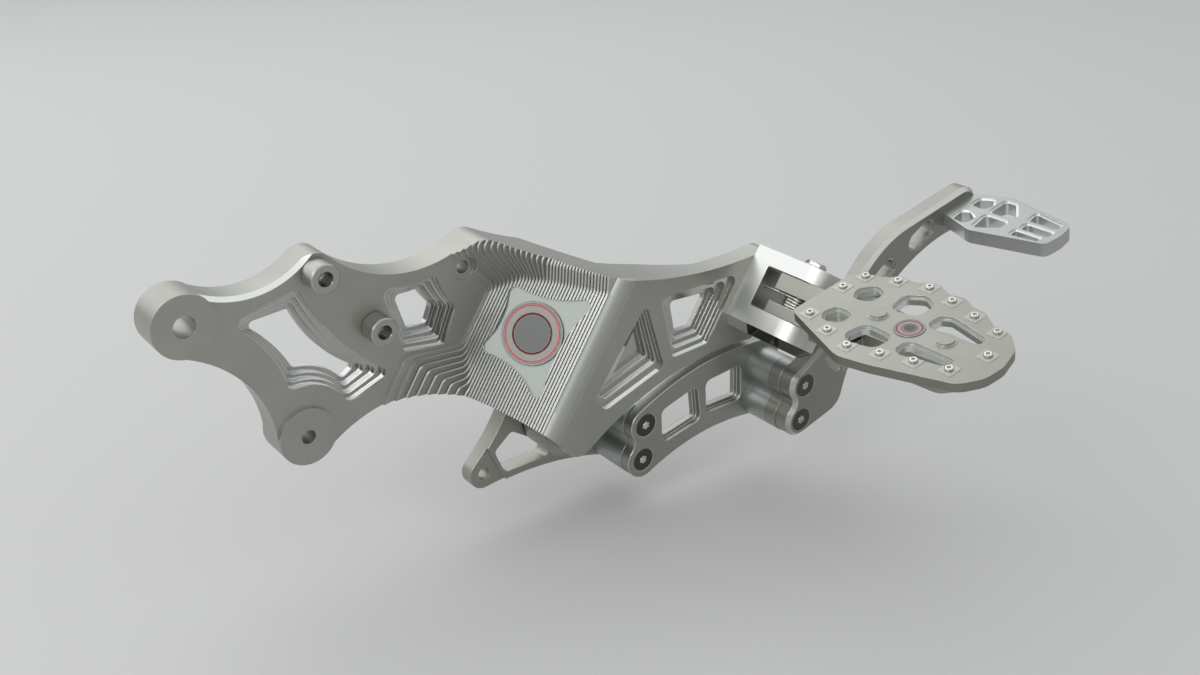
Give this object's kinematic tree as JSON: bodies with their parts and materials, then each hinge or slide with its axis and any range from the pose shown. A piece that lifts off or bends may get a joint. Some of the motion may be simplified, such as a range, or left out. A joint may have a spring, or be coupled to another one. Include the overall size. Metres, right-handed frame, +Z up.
{
  "type": "motorcycle footpeg",
  "caption": "Right-hand forward control: terraced billet bracket with a fold-up platform footpeg in its clevis and a plated brake pedal pivoting behind it.",
  "frame": {"origin": "centre of the main frame boss's front face, on the axis of its bolt hole", "axes": "+X forwards on the motorcycle, +Y inwards to the frame, +Z up as fitted; the rider's side faces -Y"},
  "size_m": [0.5532, 0.2948, 0.181],
  "materials": {
    "billet": "bead-blasted, clear anodised, machined ledges left bright",
    "tread": "bead-blasted, warm grey",
    "spacer": "satin, turned",
    "badge": "fine brushed, plain",
    "steel": "satin stainless",
    "stud": "polished stainless",
    "spring": "bright drawn wire",
    "dark_screw": "burnished dark",
    "bronze": "plain bearing bronze"
  },
  "bodies": {
    "bracket": {"main_bracket": "billet", "standoff_upper": "spacer", "standoff_lower": "spacer", "bracket_badge": "badge", "hinge_bolt": "steel", "hinge_washer": "steel", "hinge_nut": "steel", "torsion_spring": "spring", "pivot_bolt": "steel", "thrust_washer_front": "steel", "thrust_washer_rear": "steel"},
    "pedal": {"rear_arm": "billet", "pivot_bush_front": "bronze", "pivot_bush_rear": "bronze", "rear_spacer": "spacer", "link_plate": "billet", "link_screws": "dark_screw", "front_spacer": "spacer", "pedal_arm": "billet", "pedal_screws": "dark_screw", "toe_pad": "tread", "toe_pad_screws": "dark_screw"},
    "peg": {"peg_carrier": "billet", "lug_bush_lower": "bronze", "lug_bush_upper": "bronze", "tread_plate": "tread", "tread_studs": "stud", "tread_screws": "dark_screw", "tread_badge": "badge", "carrier_bolt": "steel"}
  },
  "joints": [
    {"name": "peg_fold", "type": "hinge", "parent": "bracket", "child": "peg", "pos_m": [0.35907, -0.104, -0.04497], "axis": [-0.5373, 0, -0.8434], "range_deg": [0, 75], "stiffness_Nm_per_rad": 0.25, "springref_deg": -34.38},
    {"name": "pedal_press", "type": "hinge", "parent": "bracket", "child": "pedal", "pos_m": [0.214, -0.02, -0.11262], "axis": [0, 1, 0], "range_deg": [0, 12], "stiffness_Nm_per_rad": 8, "springref_deg": -14.32}
  ]
}
